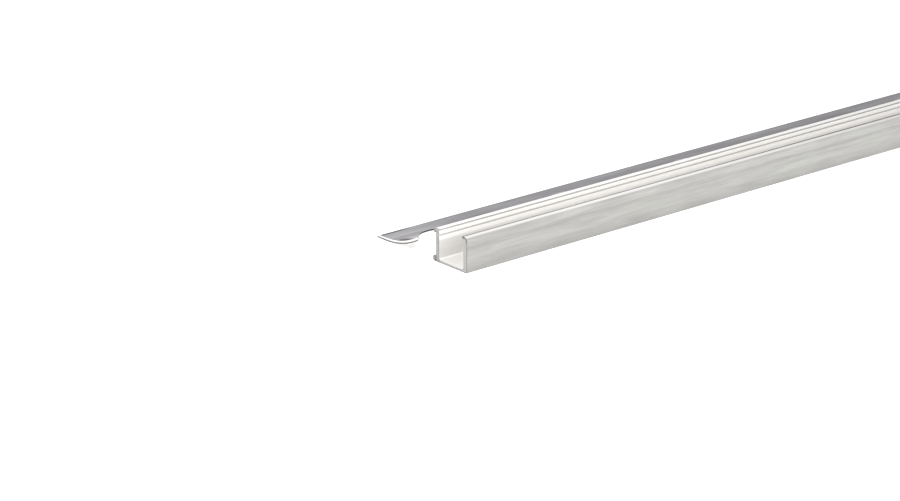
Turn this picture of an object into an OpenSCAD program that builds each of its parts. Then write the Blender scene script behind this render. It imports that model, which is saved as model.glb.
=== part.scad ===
// Aluminium extrusion profile: a square channel, open upwards, with a small lip along the top of its
// front wall, two fine grooves along its back wall and a bead at that wall's foot. Behind it a thin
// perforated wing slopes down from the wall's top and bends out flat onto the floor.
// One extruded bar. X runs along the bar, Y from the channel's face to the wing, Z up.
// Origin: centre of the bar's length and overall width, on the floor.

/* [Bar] */
// Length of the bar, as the stock is sold, mm
length = 2500; // [1000:50:3000]

/* [Channel] */
// Width of the channel over both walls, mm
channel_w = 13.4; // [11:0.1:16]
// Height of the back wall, from the floor, mm
back_h = 10; // [8:0.1:14]
// How much higher the front wall stands than the back wall, mm
front_rise = 0.5; // [0:0.1:1.2]
// Thickness of the front wall, mm
front_t = 1.6; // [1.5:0.1:2.2]
// Thickness of the back wall, mm
back_t = 1.35; // [1.1:0.05:1.8]
// Thickness of the channel's floor, mm
base_t = 0.7; // [0.6:0.05:1.2]
// How far the lip along the front wall's top stands out over the channel, mm
lip_out = 0.6; // [0.3:0.1:1.0]
// Height of the lip's edge, below which it slopes back to the wall, mm
lip_h = 0.4; // [0.2:0.1:0.8]
// Radius of the front wall's outer top edge, mm
brow_r = 1.3; // [0.2:0.1:1.5]
// Radius of the channel's outer bottom edge at the front, mm
heel_r = 0.3; // [0.1:0.05:0.5]
// Radius of the fillets between the channel's floor and walls, mm
fillet_r = 0.6; // [0.3:0.1:1.4]

/* [Grooves] */
// Number of grooves along the back wall's inner face
grooves = 2; // [1:1:3]
// Distance from the back wall's top to the middle of the first groove, mm
groove_set = 0.5; // [0.35:0.05:0.8]
// Distance from one groove to the next, mm
groove_pitch = 1.55; // [1.1:0.05:1.9]
// Width of a groove's mouth, mm
groove_w = 0.6; // [0.3:0.05:0.65]
// Depth of a groove, mm
groove_depth = 0.3; // [0.1:0.05:0.5]

/* [Bead] */
// Diameter of the bead at the foot of the back wall, mm
bead_d = 1.7; // [1.4:0.1:2.2]
// How far the bead stands out from the back wall, mm
bead_out = 1.35; // [1.2:0.05:2.0]

/* [Wing] */
// Reach of the wing behind the back wall, mm
wing_reach = 26.4; // [21:0.1:32]
// Thickness of the wing, mm
wing_t = 0.9; // [0.6:0.05:1.1]
// How far below the back wall's top the wing's upper face starts, mm
wing_set = 0.2; // [0.1:0.05:1.0]
// Where the sloping part and the flat toe would meet, as a share of the reach
bend_share = 0.555; // [0.54:0.005:0.6]
// Radius of the bend between them, on the upper face, as far as the flat before the bevel allows, mm
bend_r = 28; // [10:1:30]
// Width of the bevel along the toe, on its upper face, mm
toe_bevel = 1.2; // [0.5:0.1:2]
// Thickness left at the toe's edge, mm
toe_t = 0.4; // [0.3:0.05:0.55]

/* [Perforations] */
// Distance from one perforation to the next, mm
hole_pitch = 50; // [40:1:65]
// Distance from the sawn end to the middle of the first perforation, mm
hole_lead = 14; // [0:1:40]
// Width of a perforation's short side, towards the toe, mm
hole_short = 6.4; // [6.2:0.1:14]
// Wing left between two perforations at the back wall, mm
root_web = 9.7; // [5:0.1:12]
// Solid strip left between a perforation and the back wall, mm
root_strip = 0.9; // [0.6:0.1:2]
// Solid strip left between a perforation and the toe's edge, mm
toe_strip = 5.8; // [4:0.1:7]
// Length taken off each side of a perforation's corners at the back wall, mm
hole_ease = 1.2; // [0.4:0.1:2]
// Length taken off each side of a perforation's corners towards the toe, mm
nose_ease = 2.8; // [0.4:0.1:3]

/* [Parts] */
// Part shown

/* [Hidden] */
$fn = 32;
over = 1;                                        // how far a cutter runs past what it cuts
aluminium = [0.80, 0.80, 0.79];

front_h = back_h + front_rise;
total_w = channel_w + wing_reach;
back_y = channel_w - total_w / 2;                // outer face of the back wall
front_y = -total_w / 2;                          // outer face of the front wall

bead_r = bead_d / 2;
bead_y = bead_out - bead_r;                      // centre of the bead behind the back wall

slope_z = back_h - wing_set;                     // height of the wing's upper face at the wall
bend_y = bend_share * wing_reach;
slope = atan((slope_z - wing_t) / bend_y);       // fall of the sloping part, degrees
bend_room = wing_reach - toe_bevel - bend_y;     // flat between the meeting point and the bevel
bend = min(bend_r, bend_room / tan(slope / 2));  // radius of the bend, within that flat
bend_l = bend * tan(slope / 2);                  // from the meeting point to either end of the bend
bend_end = bend_y + bend_l;                      // where the bend runs out into the flat toe

hole_depth = wing_reach - root_strip - toe_strip;
hole_long = hole_pitch - root_web;
hole_slant = atan(2 * hole_depth / (hole_long - hole_short));
hole_n = floor((length - hole_lead) / hole_pitch) + 1;

// What lies outside a rounded edge of radius r, its corner at the origin, towards +X and +Y
module edge_waste(r) {
    difference() {
        square(r);
        translate([r, r]) circle(r);
    }
}

// One groove, cut in the +X direction from a face on the Y axis, narrowing to half its mouth
module groove() {
    half = groove_w / 2;
    polygon([
        [-over / 4, -half], [0, -half], [groove_depth, -half / 2],
        [groove_depth, half / 2], [0, half], [-over / 4, half]
    ]);
}

// Lip along a wall's top inner edge, that edge at the origin and the open side towards +X
module lip() {
    polygon([
        [-over / 4, 0], [lip_out, 0], [lip_out, -lip_h],
        [0, -lip_h - lip_out], [-over / 4, -lip_h - lip_out]
    ]);
}

// Section of the channel with lip, grooves and bead; the back wall's outer face is on the Y axis
module channel_section() {
    difference() {
        union() {
            translate([-channel_w, 0]) square([channel_w, base_t]);
            translate([-channel_w, 0]) square([front_t, front_h]);
            translate([-channel_w + front_t, front_h]) lip();
            translate([-back_t, 0]) square([back_t, back_h]);
            translate([-back_t, base_t]) mirror([1, 0]) edge_waste(fillet_r);
            translate([-channel_w + front_t, base_t]) edge_waste(fillet_r);
        }
        translate([-channel_w, front_h]) mirror([0, 1]) edge_waste(brow_r);
        translate([-channel_w, 0]) edge_waste(heel_r);
        for (i = [0 : grooves - 1])
            translate([-back_t, back_h - groove_set - i * groove_pitch]) groove();
    }
    square([bead_y, base_t]);
    translate([bead_y, bead_r]) circle(bead_r);
}

// Section of the wing: down a slope, round a bend and out flat to the bevelled toe
module wing_section() {
    fall = [cos(slope), -sin(slope)];            // direction down the slope
    down = [-sin(slope), -cos(slope)] * wing_t;  // from the upper face to the lower
    into = [-back_t / 2, 0];                     // the root runs into the back wall
    corner = [bend_y, wing_t];
    bend_start = corner - bend_l * fall;
    under_y = bend_y - wing_t * tan(slope / 2);  // where the lower faces would meet
    difference() {
        union() {
            polygon([
                into + [0, slope_z], [0, slope_z], corner, [wing_reach - toe_bevel, wing_t],
                [wing_reach, toe_t], [wing_reach, 0], [under_y, 0],
                [0, slope_z - wing_t / cos(slope)], into + [0, slope_z - wing_t / cos(slope)]
            ]);
            difference() {
                polygon([bend_start, (corner + [under_y, 0]) / 2, [bend_end, wing_t]]);
                translate([bend_end, wing_t + bend]) circle(bend, $fn = 120);
            }
        }
        difference() {
            polygon([
                bend_start + down, [under_y - over, -over], [under_y + over, -over], [bend_end, 0]
            ]);
            translate([bend_end, wing_t + bend]) circle(bend + wing_t, $fn = 120);
        }
    }
}

// Trapezoid with eased corners, its long side on the X axis
module hole_outline() {
    half_long = hole_long / 2;
    half_short = hole_short / 2;
    lean = [cos(hole_slant), sin(hole_slant)];   // along the right-hand side, from the nose down
    root_x = half_long - hole_ease * lean.x;
    root_y = hole_ease * lean.y;
    nose_x = half_short + nose_ease * lean.x;
    nose_y = hole_depth - nose_ease * lean.y;
    polygon([
        [-half_long + hole_ease, 0], [half_long - hole_ease, 0],
        [root_x, root_y], [nose_x, nose_y],
        [half_short - nose_ease, hole_depth], [-half_short + nose_ease, hole_depth],
        [-nose_x, nose_y], [-root_x, root_y]
    ]);
}

// A section drawn in Y and Z, run along the whole bar
module along_bar() {
    translate([-length / 2, back_y, 0]) rotate([90, 0, 90])
        linear_extrude(height = length) children();
}

module wing() {
    difference() {
        along_bar() wing_section();
        for (i = [0 : hole_n - 1])
            translate([-length / 2 + hole_lead + i * hole_pitch, back_y + root_strip, -over])
                linear_extrude(height = back_h + 2 * over) hole_outline();
    }
}

module profile() {
    color(aluminium) union() {
        along_bar() channel_section();
        wing();
    }
}

profile();
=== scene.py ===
import math
import bpy
import bmesh
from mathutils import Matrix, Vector


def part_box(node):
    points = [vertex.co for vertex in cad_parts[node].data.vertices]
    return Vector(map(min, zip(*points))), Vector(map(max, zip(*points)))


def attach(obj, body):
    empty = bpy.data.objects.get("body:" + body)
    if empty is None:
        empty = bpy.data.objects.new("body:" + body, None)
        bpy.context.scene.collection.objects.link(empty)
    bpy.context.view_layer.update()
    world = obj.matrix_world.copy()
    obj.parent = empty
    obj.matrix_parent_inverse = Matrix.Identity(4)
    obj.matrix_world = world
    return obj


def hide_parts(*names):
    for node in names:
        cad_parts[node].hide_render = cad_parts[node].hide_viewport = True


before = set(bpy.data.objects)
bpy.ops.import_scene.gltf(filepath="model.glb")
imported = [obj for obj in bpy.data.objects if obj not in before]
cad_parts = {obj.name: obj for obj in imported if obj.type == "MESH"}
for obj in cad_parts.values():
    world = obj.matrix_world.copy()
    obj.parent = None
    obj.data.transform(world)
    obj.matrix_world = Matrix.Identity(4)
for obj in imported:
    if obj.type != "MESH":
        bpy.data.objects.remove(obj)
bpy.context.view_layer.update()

mm = 0.001
low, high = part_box("profile")
barLength = high[0] - low[0]
print("frame loaded, bar", round(barLength, 3), "m long")


class Value:
    # one socket inside a material, so that shader maths can be written as Python expressions
    def __init__(self, tree, socket):
        self.tree = tree
        self.socket = socket

    def math(self, operation, *others):
        node = self.tree.nodes.new("ShaderNodeMath")
        node.operation = operation
        for slot, item in zip(node.inputs, (self,) + others):
            plug(self.tree, slot, item)
        return Value(self.tree, node.outputs[0])

    def __add__(self, other):
        return self.math("ADD", other)

    def __sub__(self, other):
        return self.math("SUBTRACT", other)

    def __mul__(self, other):
        return self.math("MULTIPLY", other)

    def __rsub__(self, other):
        return (self * -1) + other

    __radd__ = __add__
    __rmul__ = __mul__

    def size(self):
        return self.math("ABSOLUTE")

    def most(self, other):
        return self.math("MAXIMUM", other)

    def least(self, other):
        return self.math("MINIMUM", other)

    def root(self):
        return self.math("SQRT")

    def ramp(self, start, end, first=0.0, last=1.0):
        # smooth change from first to last while this value runs from start to end
        node = self.tree.nodes.new("ShaderNodeMapRange")
        node.interpolation_type = "SMOOTHSTEP"
        for slot, item in zip(node.inputs, (self, start, end, first, last)):
            plug(self.tree, slot, item)
        return Value(self.tree, node.outputs[0])

    def band(self, middle, half, soft):
        # 1 within half of the middle, fading to 0 over the soft distance on both sides
        return (self - middle).size().ramp(half, half + soft, 1.0, 0.0)


def plug(tree, slot, item):
    if isinstance(item, Value):
        tree.links.new(item.socket, slot)
    else:
        slot.default_value = item


class Finish:
    # a node material under construction
    def __init__(self, name):
        self.material = bpy.data.materials.new(name)
        self.material.use_nodes = True
        self.tree = self.material.node_tree
        self.shader = next(n for n in self.tree.nodes if n.type == "BSDF_PRINCIPLED")

    def node(self, kind, settings=None, values=None, out=0):
        made = self.tree.nodes.new(kind)
        for key, item in (settings or {}).items():
            setattr(made, key, item)
        for key, item in (values or {}).items():
            plug(self.tree, made.inputs[key], item)
        return Value(self.tree, made.outputs[out])

    def blend(self, share, first, second):
        made = self.tree.nodes.new("ShaderNodeMix")
        made.data_type = "RGBA"
        for key, item in ((0, share), (6, first), (7, second)):
            if isinstance(item, tuple):
                item = item + (1,)                        # a colour socket has a fourth part
            plug(self.tree, made.inputs[key], item)
        return Value(self.tree, made.outputs[2])

    def scaled(self, colour, amount):
        return self.node("ShaderNodeVectorMath", {"operation": "SCALE"}, {0: colour, "Scale": amount})

    def tinted(self, colour, tint):
        return self.node("ShaderNodeVectorMath", {"operation": "MULTIPLY"}, {0: colour, 1: tint})

    def toned(self, colour, amount):
        return tuple(part * amount for part in colour)

    def axes(self, vector):
        # the three components of a vector, each as a value
        made = self.tree.nodes.new("ShaderNodeSeparateXYZ")
        plug(self.tree, made.inputs[0], vector)
        return [Value(self.tree, out) for out in made.outputs]

    def noise(self, point, stretch, detail=2.0, rough=0.5):
        spread = self.node("ShaderNodeVectorMath", {"operation": "MULTIPLY"}, {0: point, 1: stretch})
        return self.node("ShaderNodeTexNoise", {"noise_dimensions": "3D"},
                         {"Vector": spread, "Scale": 1.0, "Detail": detail, "Roughness": rough})


bar = dict(
    channelWidth=13.4, backHeight=10.0, frontRise=0.5,      # millimetres throughout
    frontWall=1.6, backWall=1.35, floorWall=0.7,
    browRound=1.3, heelRound=0.3, fillet=0.6, lipOut=0.6, lipHeight=0.4,
    grooves=2, grooveSet=0.5, groovePitch=1.55, grooveWidth=0.6, grooveDepth=0.3,
    beadSize=1.7, beadOut=1.35,
    wingReach=26.4, wingThick=0.9, wingSet=0.2, bendShare=0.555, bendRadius=28.0,
    toeBevel=1.2, toeThick=0.4,
    holePitch=50.0, holeLead=14.0, holeShort=6.4, rootWeb=9.7,
    rootStrip=0.9, toeStrip=5.8, rootRound=0.6, noseRound=6.0,
    softEdge=0.08, punchedEdge=0.09,                        # how far sharp edges are eased
)


def rounded(corners, steps=4):
    # closed outline from (y, z, radius) corners, each radius drawn as an arc of a few chords
    points = []
    count = len(corners)
    for i, (y, z, radius) in enumerate(corners):
        here = Vector((y, z))
        if radius == 0:
            points.append(here)
            continue
        before = (Vector(corners[i - 1][:2]) - here).normalized()
        after = (Vector(corners[(i + 1) % count][:2]) - here).normalized()
        half = math.acos(max(-1.0, min(1.0, before.dot(after)))) / 2
        reach = radius / math.tan(half)
        centre = here + (before + after).normalized() * radius / math.sin(half)
        first = here + before * reach - centre
        turn = (math.pi - 2 * half) * (1 if first.cross(here + after * reach - centre) > 0 else -1)
        for k in range(steps + 1):
            angle = turn * k / steps
            cosine, sine = math.cos(angle), math.sin(angle)
            points.append(centre + Vector((first.x * cosine - first.y * sine,
                                           first.x * sine + first.y * cosine)))
    return points


def wingFaces(b):
    # upper and lower face of the wing at a distance y behind the back wall
    start = b["backHeight"] - b["wingSet"]
    thick, radius = b["wingThick"], b["bendRadius"]
    slope = math.atan((start - thick) / (b["bendShare"] * b["wingReach"]))
    reach = radius * math.tan(slope / 2)
    bendEnd = b["bendShare"] * b["wingReach"] + reach
    bendStart = b["bendShare"] * b["wingReach"] - reach * math.cos(slope)
    top = thick + radius

    def upper(y):
        if y <= bendStart:
            return start - y * math.tan(slope)
        if y >= bendEnd:
            return thick
        return top - math.sqrt(radius ** 2 - (bendEnd - y) ** 2)

    def lower(y):
        if y <= bendStart - thick * math.sin(slope):
            return start - thick / math.cos(slope) - y * math.tan(slope)
        if y >= bendEnd:
            return 0.0
        return top - math.sqrt((radius + thick) ** 2 - (bendEnd - y) ** 2)
    return upper, lower


def holeSide(b, arcSteps=6, sideSteps=16):
    # one half of a perforation, from the wall side to the toe side:
    # (along, behind, normal angle) of the eased edge's outer line
    depth = b["wingReach"] - b["rootStrip"] - b["toeStrip"]
    long = b["holePitch"] - b["rootWeb"]
    slant = math.atan(2 * depth / (long - b["holeShort"]))
    near, far, grow = b["rootRound"], b["noseRound"], b["punchedEdge"]
    nearCentre = (long / 2 - near / math.tan(slant / 2), near)
    farCentre = (b["holeShort"] / 2 - far * math.tan(slant / 2), depth - far)
    lean = math.pi / 2 - slant
    side = []

    def arc(centre, radius, start, end):
        for k in range(arcSteps + 1):
            angle = start + (end - start) * k / arcSteps
            side.append((centre[0] + (radius + grow) * math.cos(angle),
                         centre[1] + (radius + grow) * math.sin(angle), angle))
    arc(nearCentre, near, -math.pi / 2, lean)
    x0, y0, _ = side[-1]
    arc(farCentre, far, lean, math.pi / 2)
    x1, y1, _ = side[-arcSteps - 1]
    straight = [(x0 + (x1 - x0) * k / sideSteps, y0 + (y1 - y0) * k / sideSteps, lean)
                for k in range(1, sideSteps)]
    side[arcSteps + 1:arcSteps + 1] = straight
    return [(x, b["rootStrip"] + y, angle) for x, y, angle in side]


def sectionRows(b):
    # the whole closed section as rows (y, z, half width of a perforation there, its place on the side)
    upper, lower = wingFaces(b)
    side = holeSide(b)
    soft = b["softEdge"]
    width, floor, top = b["channelWidth"], b["floorWall"], b["backHeight"]
    inner, back = -width + b["frontWall"], -b["backWall"]
    beadRadius = b["beadSize"] / 2
    beadY = b["beadOut"] - beadRadius
    beadTop = math.pi - math.asin(math.sqrt(beadRadius ** 2 - beadY ** 2) / beadRadius)
    foot = [(-width, 0, b["heelRound"])]
    for k in range(21):
        angle = -math.pi / 2 + (beadTop + math.pi / 2) * k / 20
        foot.append((beadY + beadRadius * math.cos(angle), beadRadius + beadRadius * math.sin(angle), 0))
    foot.append((0, lower(0), 0))
    bevelY = b["wingReach"] - b["toeBevel"]
    toe = [(b["wingReach"], 0, soft / 2), (b["wingReach"], b["toeThick"], soft),
           (bevelY, upper(bevelY), 0)]
    head = [(0, upper(0), 0), (0, top, soft / 2), (back, top, soft)]
    for i in range(b["grooves"]):
        middle = top - b["grooveSet"] - i * b["groovePitch"]
        half = b["grooveWidth"] / 2
        head += [(back, middle + half, soft / 2), (back + b["grooveDepth"], middle + half / 2, soft / 2),
                 (back + b["grooveDepth"], middle - half / 2, soft / 2), (back, middle - half, soft / 2)]
    head += [(back, floor, b["fillet"]), (inner, floor, b["fillet"]),
             (inner, top + b["frontRise"] - b["lipHeight"] - b["lipOut"], soft),
             (inner + b["lipOut"], top + b["frontRise"] - b["lipHeight"], soft / 2),
             (inner + b["lipOut"], top + b["frontRise"], 2 * soft),
             (-width, top + b["frontRise"], b["browRound"])]
    firstHole, lastHole = side[0][1], side[-1][1]
    rootYs = [firstHole * k / 3 for k in range(1, 3)]
    toeYs = [lastHole + (bevelY - lastHole) * k / 5 for k in range(1, 5)]
    flat = [(p.x, p.y) for p in rounded(foot + toe + head, 5)]

    def nearest(y, z):
        return min(range(len(flat)), key=lambda i: (flat[i][0] - y) ** 2 + (flat[i][1] - z) ** 2)
    rootAt, bevelAt = nearest(0, lower(0)), nearest(bevelY, upper(bevelY))
    under = [(y, lower(y), None, None) for y in rootYs]
    under += [(y, lower(y), x, rank) for rank, (x, y, _) in enumerate(side)]
    under += [(y, lower(y), None, None) for y in toeYs]
    over = [(y, upper(y), None, None) for y in reversed(toeYs)]
    over += [(y, upper(y), x, rank) for rank, (x, y, _) in reversed(list(enumerate(side)))]
    over += [(y, upper(y), None, None) for y in reversed(rootYs)]
    rows = [(y, z, None, None) for y, z in flat[:rootAt + 1]] + under
    rows += [(y, z, None, None) for y, z in flat[rootAt + 1:bevelAt + 1]] + over
    rows += [(y, z, None, None) for y, z in flat[bevelAt + 1:]]
    filled = []
    for y, z, half, rank in rows:
        if half is None:
            half = side[-1][0] if y > lastHole else side[0][0]
        filled.append((y, z, half, rank))
    return filled, side


def buildBar(b):
    rows, side = sectionRows(b)
    upper, lower = wingFaces(b)
    holes = int((barLength / mm - b["holeLead"]) // b["holePitch"]) + 1
    backY = high[1] - b["wingReach"] * mm                 # the back wall's outer face
    spare = 10.0                                          # waste that the saw takes off each end
    centres = [b["holeLead"] + i * b["holePitch"] for i in range(holes)]
    mesh = bmesh.new()

    def place(along, y, z):
        return mesh.verts.new((low[0] + along * mm, backY + y * mm, z * mm))

    grid = []
    for y, z, half, _ in rows:
        line = [place(-spare, y, z)]
        for centre in centres:
            line += [place(centre - half, y, z), place(centre + half, y, z)]
        line.append(place(barLength / mm + spare, y, z))
        grid.append(line)
    count = len(rows)
    for i in range(count):
        j = (i + 1) % count
        punched = rows[i][3] is not None and rows[j][3] is not None
        for k in range(len(grid[0]) - 1):
            if punched and k % 2 == 1:
                continue
            mesh.faces.new((grid[i][k], grid[i][k + 1], grid[j][k + 1], grid[j][k]))
    holeRows = [i for i, row in enumerate(rows) if row[3] is not None]
    underRows, overRows = holeRows[:len(side)], holeRows[len(side):][::-1]
    grow = b["punchedEdge"]
    turns = [math.pi / 4, math.pi / 2]
    for n, centre in enumerate(centres):
        left, right = 1 + 2 * n, 2 + 2 * n

        def ring(sink, inward, face, sign):
            made = []
            for flip in (1, -1):
                for x, y, angle in (side if flip == 1 else side[::-1]):
                    behind = y - inward * math.sin(angle)
                    made.append(place(centre + flip * (x - inward * math.cos(angle)), behind,
                                      face(behind) + sign * sink))
            return made
        rings = [[grid[i][right] for i in overRows] + [grid[i][left] for i in overRows[::-1]]]
        for turn in turns:
            rings.append(ring(grow * (1 - math.cos(turn)), grow * math.sin(turn), upper, -1))
        for turn in reversed(turns):
            rings.append(ring(grow * (1 - math.cos(turn)), grow * math.sin(turn), lower, 1))
        rings.append([grid[i][right] for i in underRows] + [grid[i][left] for i in underRows[::-1]])
        for first, second in zip(rings, rings[1:]):
            size = len(first)
            for k in range(size):
                m = (k + 1) % size
                mesh.faces.new((first[k], first[m], second[m], second[k]))
    for end, normal in ((low[0], -1), (high[0], 1)):      # both ends are sawn off square
        cut = bmesh.ops.bisect_plane(mesh, geom=mesh.verts[:] + mesh.edges[:] + mesh.faces[:], dist=1e-7,
                                     plane_co=(end, 0, 0), plane_no=(normal, 0, 0), clear_outer=True)
        edges = [e for e in cut["geom_cut"] if isinstance(e, bmesh.types.BMEdge)]
        bmesh.ops.triangle_fill(mesh, edges=edges, use_beauty=True, normal=(normal, 0, 0))
    bmesh.ops.recalc_face_normals(mesh, faces=mesh.faces)
    data = bpy.data.meshes.new("extrudedBar")
    mesh.to_mesh(data)
    ragged = sum(1 for e in mesh.edges if len(e.link_faces) != 2)
    print("bar mesh:", len(data.polygons), "faces,", ragged, "open edges,", holes, "perforations")
    mesh.free()
    data.shade_smooth()
    data.set_sharp_from_angle(angle=math.radians(33))
    piece = bpy.data.objects.new("extruded_bar", data)
    bpy.context.scene.collection.objects.link(piece)
    return piece


metal = dict(
    # the channel's inside is a lighter copy of the same metal: painted light
    inside=(0.96, 0.945, 0.925), insideDull=(0.86, 0.845, 0.825),      # the channel's inside
    outside=(0.380, 0.378, 0.362), outsideDull=(0.354, 0.352, 0.337),  # its face and back
    # the wing's upper face is a darker copy of the same metal: painted dark reflection
    wing=(0.288, 0.283, 0.293), wingDull=(0.205, 0.202, 0.211),        # the wing's upper face
    # the punched hole walls get a painted highlight along their upper rim and painted shadow below it
    under=(0.42, 0.42, 0.415), rimHighlight=(0.42, 0.415, 0.42), punched=(0.03, 0.03, 0.03),
    sawn=(0.40, 0.393, 0.387), sawnWingLit=(0.80, 0.79, 0.785),
    burrShade=(0.10, 0.098, 0.095), darkMark=(0.085, 0.083, 0.088), cool=(1.0, 0.985, 1.0),
    rough=0.34, streakRough=0.16, streakDepth=0.02, wingRough=0.5, insideShine=0.25,
    # how finely each kind of marking repeats, per metre along, across and up the bar
    fine=(3.0, 5200.0, 5200.0), broad=(1.2, 900.0, 900.0), patch=(22.0, 90.0, 90.0),
    speck=(1500.0, 1500.0, 1500.0), cloud=(45.0, 300.0, 300.0), tint=(38.0, 210.0, 210.0),
    streak=(70.0, 1900.0, 1900.0), scratch=(130.0, 2600.0, 2600.0),
    # places on the bar, in millimetres
    wallTurn=(6.2, 7.0),                                  # heights where the painted light on the inner wall begins
    darkMarkAt=(1.5, 15.0), darkMarkSpread=(0.5, 0.32),       # along and behind, and how tight it is
    toeLineLong=(7.0, 13.0), toeLineWide=(2.4, 1.9),      # the dark line beside the toe
    burrShadeWide=(0.16, 0.3), footBurrShadeHigh=(0.12, 0.22), beadBurrShadeWide=0.2,
)


def wingDepth(b, behind, height):
    # how far up the wing's thickness a point lies: 0 on the lower face, 1 on the upper
    start, thick = b["backHeight"] - b["wingSet"], b["wingThick"]
    slope = math.atan((start - thick) / (b["bendShare"] * b["wingReach"]))
    outer = b["bendRadius"] + thick
    bendEnd = b["bendShare"] * b["wingReach"] + b["bendRadius"] * math.tan(slope / 2)
    run = (bendEnd - behind).most(0.0)
    curved = run.least(outer * math.sin(slope))
    rise = outer - (outer * outer - curved * curved).root() + (run - curved) * math.tan(slope)
    return (height - rise) * (1 / thick)


def insideColour(finish, m, b, tone, along, behind, height, nz):
    turnStart, turnEnd = m["wallTurn"]
    faceY = -b["channelWidth"]
    litUpperWall = height.ramp(turnStart, turnEnd) * behind.band(-1.0, 0.9, 0.3)
    filletHighlight = height.band(1.05, 0.1, 0.2) * behind.band(-1.6, 0.35, 0.2)
    lowWallShade = height.ramp(turnStart, turnEnd, 1.0, 0.0) * height.ramp(0.9, 1.1)
    lowWallShade = lowWallShade * along.ramp(14.0, 60.0, 0.11, 0.03)
    # painted light on the upper inner wall, a painted highlight along the fillet, painted shade low on the
    # wall near the cut, and darker further along the bar
    shade = 0.9 + litUpperWall * 0.12 + filletHighlight * 0.2 - lowWallShade - along.ramp(30.0, 240.0) * 0.1
    for i in range(b["grooves"]):                         # painted shade in the grooves
        middle = b["backHeight"] - b["grooveSet"] - i * b["groovePitch"]
        grooveShade = height.band(middle, b["grooveWidth"] * 0.3, 0.12) * behind.band(-1.2, 0.2, 0.1)
        shade = shade - grooveShade * (0.5 - 0.1 * i)
    # painted shade on the up-facing wall tops, deeper further along the bar
    crestShade = nz.ramp(0.45, 0.75) * height.ramp(9.4, 9.7)
    # painted shade along the front wall's lip and the inner edge of its top, deeper further along the bar
    lipShadow = behind.band(faceY + b["frontWall"] + b["lipOut"], 0.7, 0.15) * height.ramp(9.3, 9.6)
    shade = shade - crestShade * (0.24 + along.ramp(60.0, 200.0) * 0.1)
    shade = shade - lipShadow * (0.46 + along.ramp(20.0, 200.0) * 0.08)
    return finish.scaled(finish.blend(tone, m["insideDull"], m["inside"]), shade)


def outsideColour(finish, m, tone, height, clouds, tints, streaks, scratches):
    face = finish.blend(tone, m["outsideDull"], m["outside"])
    lines = 1 + height.band(8.8, 0.5, 0.4) * 0.04 - height.band(7.35, 0.35, 0.35) * 0.07
    lines = lines + height.band(4.2, 0.6, 0.8) * 0.06 - height.ramp(2.6, 0.6) * 0.03
    lines = lines * clouds.ramp(0.3, 0.7, 0.93, 1.07) * streaks.ramp(0.3, 0.7, 0.955, 1.045)
    lines = lines + scratches * 0.09
    face = finish.blend(tints.ramp(0.35, 0.65), face, finish.tinted(face, m["cool"]))
    return finish.scaled(face, lines)


def wingColour(finish, m, b, tone, along, behind, clouds, tints, streaks):
    wing = finish.blend(tone, m["wingDull"], m["wing"])
    # the wing is lighter near the cut and darker further along, with random clouds and streaks, and a
    # painted shade line 19.4 mm behind the wall
    wingToneAndShade = along.ramp(4.0, 36.0, 1.5, 1.0) * along.ramp(50.0, 240.0, 1.0, 0.78)
    wingToneAndShade = wingToneAndShade * clouds.ramp(0.3, 0.7, 0.88, 1.12) * streaks.ramp(0.3, 0.7, 0.95, 1.05)
    wingToneAndShade = wingToneAndShade * (1 - behind.band(19.4, 0.5, 0.6) * 0.14)
    wing = finish.blend(tints.ramp(0.35, 0.65), wing, finish.tinted(wing, m["cool"]))
    wing = finish.scaled(wing, wingToneAndShade)
    # a dark patch on the wing near the cut, and a dark line beside the toe
    spotX = (along - m["darkMarkAt"][0]) * m["darkMarkSpread"][0]
    spotY = (behind - m["darkMarkAt"][1]) * m["darkMarkSpread"][1]
    darkMark = (spotX * spotX + spotY * spotY).root().ramp(0.65, 1.15, 1.0, 0.0)
    toeLine = behind.ramp(b["wingReach"] - m["toeLineWide"][0], b["wingReach"] - m["toeLineWide"][1])
    toeLine = toeLine * along.ramp(*m["toeLineLong"], 1.0, 0.0)
    return finish.blend((darkMark + toeLine).least(1.0) * 0.92, wing, m["darkMark"])


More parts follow.
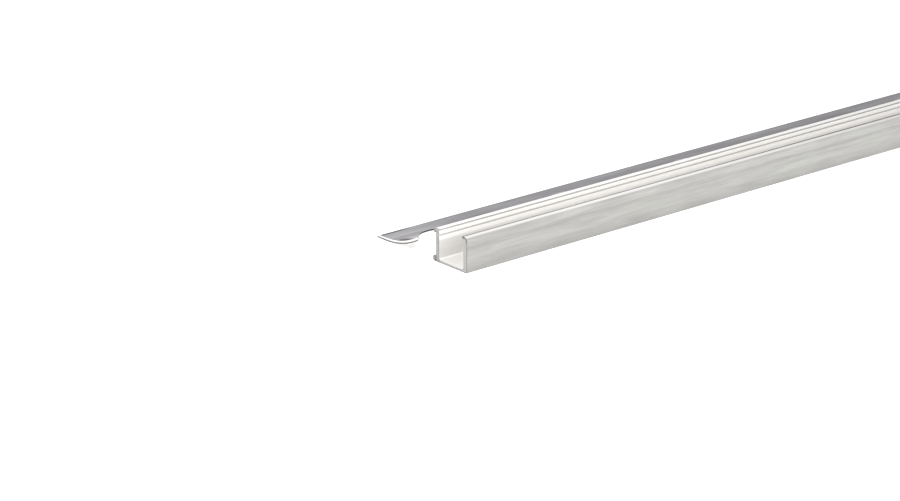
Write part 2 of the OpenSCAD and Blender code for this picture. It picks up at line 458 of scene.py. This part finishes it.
def sawnColour(finish, m, b, behind, height, depthShare, specks):
    # dark burr lines along the edges of the cut, partly real burrs and partly painted shade, and painted
    # shade where the cut meets the floor
    faceY = -b["channelWidth"]
    ends = finish.blend(specks.ramp(0.35, 0.65), finish.toned(m["sawn"], 0.76), m["sawn"])
    ends = finish.scaled(ends, 1 - behind.ramp(-1.5, -1.4) * 0.14)
    # a painted highlight on the wing's sawn end, with painted shade on its lower part
    wingEndLitAndShaded = finish.blend(depthShare.ramp(0.42, 0.58), finish.toned(m["sawn"], 0.42), m["sawnWingLit"])
    ends = finish.blend(behind.ramp(2.0, 2.2), ends, wingEndLitAndShaded)
    wide, clear = m["burrShadeWide"]
    frontBurrShade = behind.ramp(faceY + wide, faceY + clear, 1.0, 0.0)
    footBurrShade = height.ramp(*m["footBurrShadeHigh"], 1.0, 0.0) * behind.ramp(1.4, 1.6, 1.0, 0.0)
    wallBurrShade = (behind + b["backWall"] / 2).size().ramp(0.35, 0.5) * behind.band(-0.5, 1.0, 0.1) * 0.7
    wallBurrShade = wallBurrShade * height.ramp(8.8, 9.4, 1.0, 0.0)
    browY, browZ = faceY + b["browRound"], b["backHeight"] + b["frontRise"] - b["browRound"]
    fromBrow = ((behind - browY) * (behind - browY) + (height - browZ) * (height - browZ)).root()
    # a dark mark on the front wall's rounded top at the cut, partly a burr and partly a painted dark
    # reflection
    topBurrShade = fromBrow.ramp(b["browRound"] - 0.6, b["browRound"] - 0.4)
    topBurrShade = topBurrShade * height.ramp(browZ - 0.8, browZ) * behind.ramp(-11.3, -11.1, 1.0, 0.0)
    radius = b["beadSize"] / 2
    beadY = b["beadOut"] - radius
    fromBead = ((behind - beadY) * (behind - beadY) + (height - radius) * (height - radius)).root()
    beadBurrShade = fromBead.band(radius, m["beadBurrShadeWide"], 0.1) * behind.ramp(-0.2, 0.0) * 0.7
    dark = frontBurrShade.most(footBurrShade).most(wallBurrShade).most(beadBurrShade) * specks.ramp(0.32, 0.5)
    return finish.blend(dark.most(topBurrShade), ends, m["burrShade"])


def millAluminium(m, b):
    finish = Finish("mill_aluminium")
    point = finish.node("ShaderNodeTexCoord", out=3)
    normal = finish.node("ShaderNodeTexCoord", out=1)
    x, y, z = finish.axes(point)
    nx, ny, nz = finish.axes(normal)
    along = (x - low[0]) * 1000                           # millimetres from the sawn end
    behind = (y - (high[1] - b["wingReach"] * mm)) * 1000    # behind the back wall's outer face
    height = z * 1000
    faceY = -b["channelWidth"]
    depthShare = wingDepth(b, behind, height)

    fine = finish.noise(point, m["fine"], 3.0)
    broad = finish.noise(point, m["broad"], 2.0)
    patches = finish.noise(point, m["patch"], 4.0, 0.6)
    specks = finish.noise(point, m["speck"], 3.0, 0.6)
    clouds = finish.noise(point, m["cloud"], 4.0, 0.6)
    tints = finish.noise(point, m["tint"], 1.0, 0.5)
    streaks = finish.noise(point, m["streak"], 2.0, 0.5)
    scratches = finish.noise(point, m["scratch"], 1.0, 0.5).ramp(0.64, 0.74)
    drawn = fine * 0.45 + broad * 0.55                    # lines that the die draws along the bar
    tone = drawn.ramp(0.32, 0.68) * 0.75 + patches.ramp(0.35, 0.75) * 0.25

    isWing = behind.ramp(0.05, 0.25)
    onTop = isWing * nz.ramp(0.1, 0.4)
    onUnder = isWing * (nz * -1).ramp(0.1, 0.4) * height.ramp(1.0, 1.3)
    onFace = (ny * -1).ramp(0.52, 0.78) * behind.ramp(faceY + 1.3, faceY + 1.6, 1.0, 0.0)
    onBack = ny.ramp(0.3, 0.6) * behind.band(0.3, 1.6, 0.2) * height.ramp(8.5, 8.9, 1.0, 0.0)
    onSawn = nx.size().ramp(0.8, 0.95)
    onPunched = isWing * nz.size().ramp(0.3, 0.5, 1.0, 0.0) * behind.ramp(1.5, 2.0)
    inside = behind.band(faceY / 2, 6.9, 0.1) * (1 - onFace)

    colour = insideColour(finish, m, b, tone, along, behind, height, nz)
    face = outsideColour(finish, m, tone, height, clouds, tints, streaks, scratches)
    colour = finish.blend((onFace + onBack).least(1.0), colour, face)
    wing = wingColour(finish, m, b, tone, along, behind, clouds, tints, streaks)
    colour = finish.blend(onTop, colour, wing)
    colour = finish.blend(onUnder, colour, m["under"])
    # painted shadow on the lower part of the punched hole walls, painted highlight along their upper rim
    punched = finish.blend(depthShare.ramp(0.4, 0.6), m["punched"], m["rimHighlight"])
    colour = finish.blend(onPunched, colour, punched)
    sawn = sawnColour(finish, m, b, behind, height, depthShare, specks)
    colour = finish.blend(onSawn, colour, sawn)

    rough = drawn.ramp(0.25, 0.75) * m["streakRough"] + patches * 0.08 + m["rough"]
    rough = rough + onTop * (m["wingRough"] - m["rough"])
    bump = finish.node("ShaderNodeBump", None, {"Strength": 0.25, "Distance": m["streakDepth"] * mm,
                                                "Height": fine})
    plug(finish.tree, finish.shader.inputs["Base Color"], colour)
    plug(finish.tree, finish.shader.inputs["Roughness"], rough)
    plug(finish.tree, finish.shader.inputs["Metallic"], 1 - inside * (1 - m["insideShine"]))
    plug(finish.tree, finish.shader.inputs["Normal"], bump)
    return finish.material


barPiece = buildBar(bar)
barPiece.data.materials.append(millAluminium(metal, bar))
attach(barPiece, "root")
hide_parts("profile")
print("bar built and finished")

studio = dict(
    floorSize=12.0, floorColour=(0.9, 0.9, 0.9, 1), floorGlow=0.35,
    worldColour=(1, 1, 1, 1), worldStrength=1.4,
    lampPower=0.9, lampWidth=25.0, lampFrom=(0.12, -0.92, 0.36),
)


def makeFloor(s):
    mesh = bmesh.new()
    bmesh.ops.create_grid(mesh, x_segments=2, y_segments=2, size=s["floorSize"] / 2)
    data = bpy.data.meshes.new("floor")
    mesh.to_mesh(data)
    mesh.free()
    floor = bpy.data.objects.new("floor", data)
    floor.location.z = -0.00002
    bpy.context.scene.collection.objects.link(floor)
    finish = Finish("pale_floor")
    finish.shader.inputs["Base Color"].default_value = s["floorColour"]
    finish.shader.inputs["Roughness"].default_value = 0.9
    finish.shader.inputs["Emission Color"].default_value = (1, 1, 1, 1)
    finish.shader.inputs["Emission Strength"].default_value = s["floorGlow"]
    data.materials.append(finish.material)


def makeWorld(s):
    world = bpy.data.worlds.new("studio")
    world.use_nodes = True
    back = next(n for n in world.node_tree.nodes if n.type == "BACKGROUND")
    back.inputs[0].default_value = s["worldColour"]
    back.inputs[1].default_value = s["worldStrength"]
    bpy.context.scene.world = world
    lamp = bpy.data.lights.new("key", "SUN")
    lamp.energy = s["lampPower"]
    lamp.angle = math.radians(s["lampWidth"])
    holder = bpy.data.objects.new("key", lamp)
    holder.rotation_euler = Vector(s["lampFrom"]).to_track_quat("Z", "Y").to_euler()
    bpy.context.scene.collection.objects.link(holder)


view = dict(lens=124.34, distance=868.4, towards=(-0.60423, -0.7215, 0.33816), aim=(1.593, -4.168, -6.046))


def makeCamera(v):
    corner = Vector((low[0], high[1] - bar["wingReach"] * mm, bar["backHeight"] * mm))
    aim = corner + Vector(v["aim"]) * mm
    towards = Vector(v["towards"]).normalized()
    camera = bpy.data.cameras.new("camera")
    camera.lens = v["lens"]
    camera.sensor_width = 36.0
    camera.clip_start = 0.01
    camera.clip_end = 50.0
    holder = bpy.data.objects.new("camera", camera)
    holder.location = aim + towards * v["distance"] * mm
    holder.rotation_euler = (-towards).to_track_quat("-Z", "Y").to_euler()
    bpy.context.scene.collection.objects.link(holder)
    bpy.context.scene.camera = holder


makeFloor(studio)
makeWorld(studio)
makeCamera(view)
bpy.context.scene.view_settings.view_transform = "Standard"
print("floor, light and camera placed")
